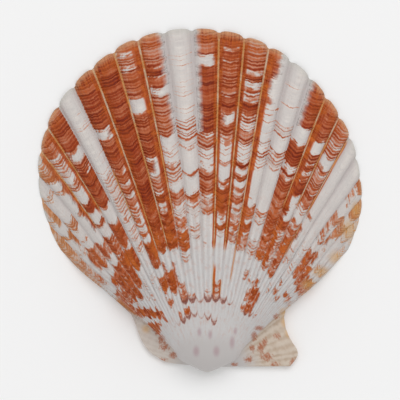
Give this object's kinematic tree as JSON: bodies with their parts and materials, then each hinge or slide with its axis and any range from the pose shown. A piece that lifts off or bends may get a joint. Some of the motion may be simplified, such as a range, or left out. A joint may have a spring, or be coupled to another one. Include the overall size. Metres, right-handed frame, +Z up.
{
  "type": "scallop shell",
  "caption": "Single valve of a calico scallop: a low ribbed fan-shaped dome with a scalloped margin, two small ears beside the beak and a hollow underside, lying hollow side down.",
  "frame": {"origin": "middle of the shell's footprint, on the plane that its rim and ears rest on", "axes": "+Z up, away from the hollow side; +Y from the beak towards the far margin; +X towards the larger ear"},
  "size_m": [0.052, 0.055, 0.0116],
  "materials": {
    "shell": "satin"
  },
  "bodies": {
    "root": {"valve": "shell"}
  },
  "joints": []
}
